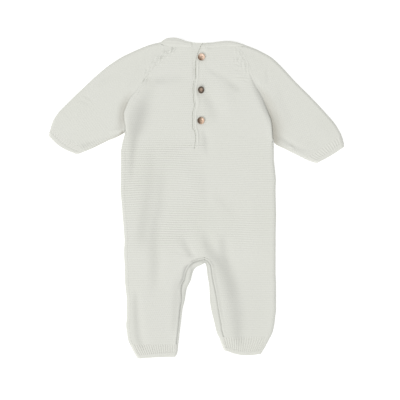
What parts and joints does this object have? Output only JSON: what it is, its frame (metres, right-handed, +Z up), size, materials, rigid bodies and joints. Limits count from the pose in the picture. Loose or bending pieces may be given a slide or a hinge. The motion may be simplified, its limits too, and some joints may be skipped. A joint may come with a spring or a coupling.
{
  "type": "baby romper",
  "caption": "Knitted baby romper laid flat, back upwards, with long raglan sleeves, ribbed wrist and ankle cuffs, a neckband and a short buttoned placket down the back.",
  "frame": {"origin": "on the surface the garment lies on, under the centre of its bounding box", "axes": "+Z up out of the garment's buttoned back, +Y towards the neck, +X towards the right sleeve as seen from above"},
  "size_m": [0.4714, 0.5135, 0.014],
  "materials": {
    "body_knit": "soft matt off-white knit with fine ridges across",
    "rib_knit": "soft matt off-white one by one rib",
    "button_shell": "glossy marbled brown, shell look"
  },
  "bodies": {
    "root": {"front_panel": "body_knit", "back_panel": "body_knit", "sleeve_left": "body_knit", "sleeve_right": "body_knit", "sleeve_cuff_left": "rib_knit", "sleeve_cuff_right": "rib_knit", "ankle_cuff_left": "rib_knit", "ankle_cuff_right": "rib_knit", "neckband": "rib_knit", "button_band": "rib_knit", "buttonhole_band": "rib_knit", "button_top": "button_shell", "button_middle": "button_shell", "button_bottom": "button_shell"}
  },
  "joints": []
}
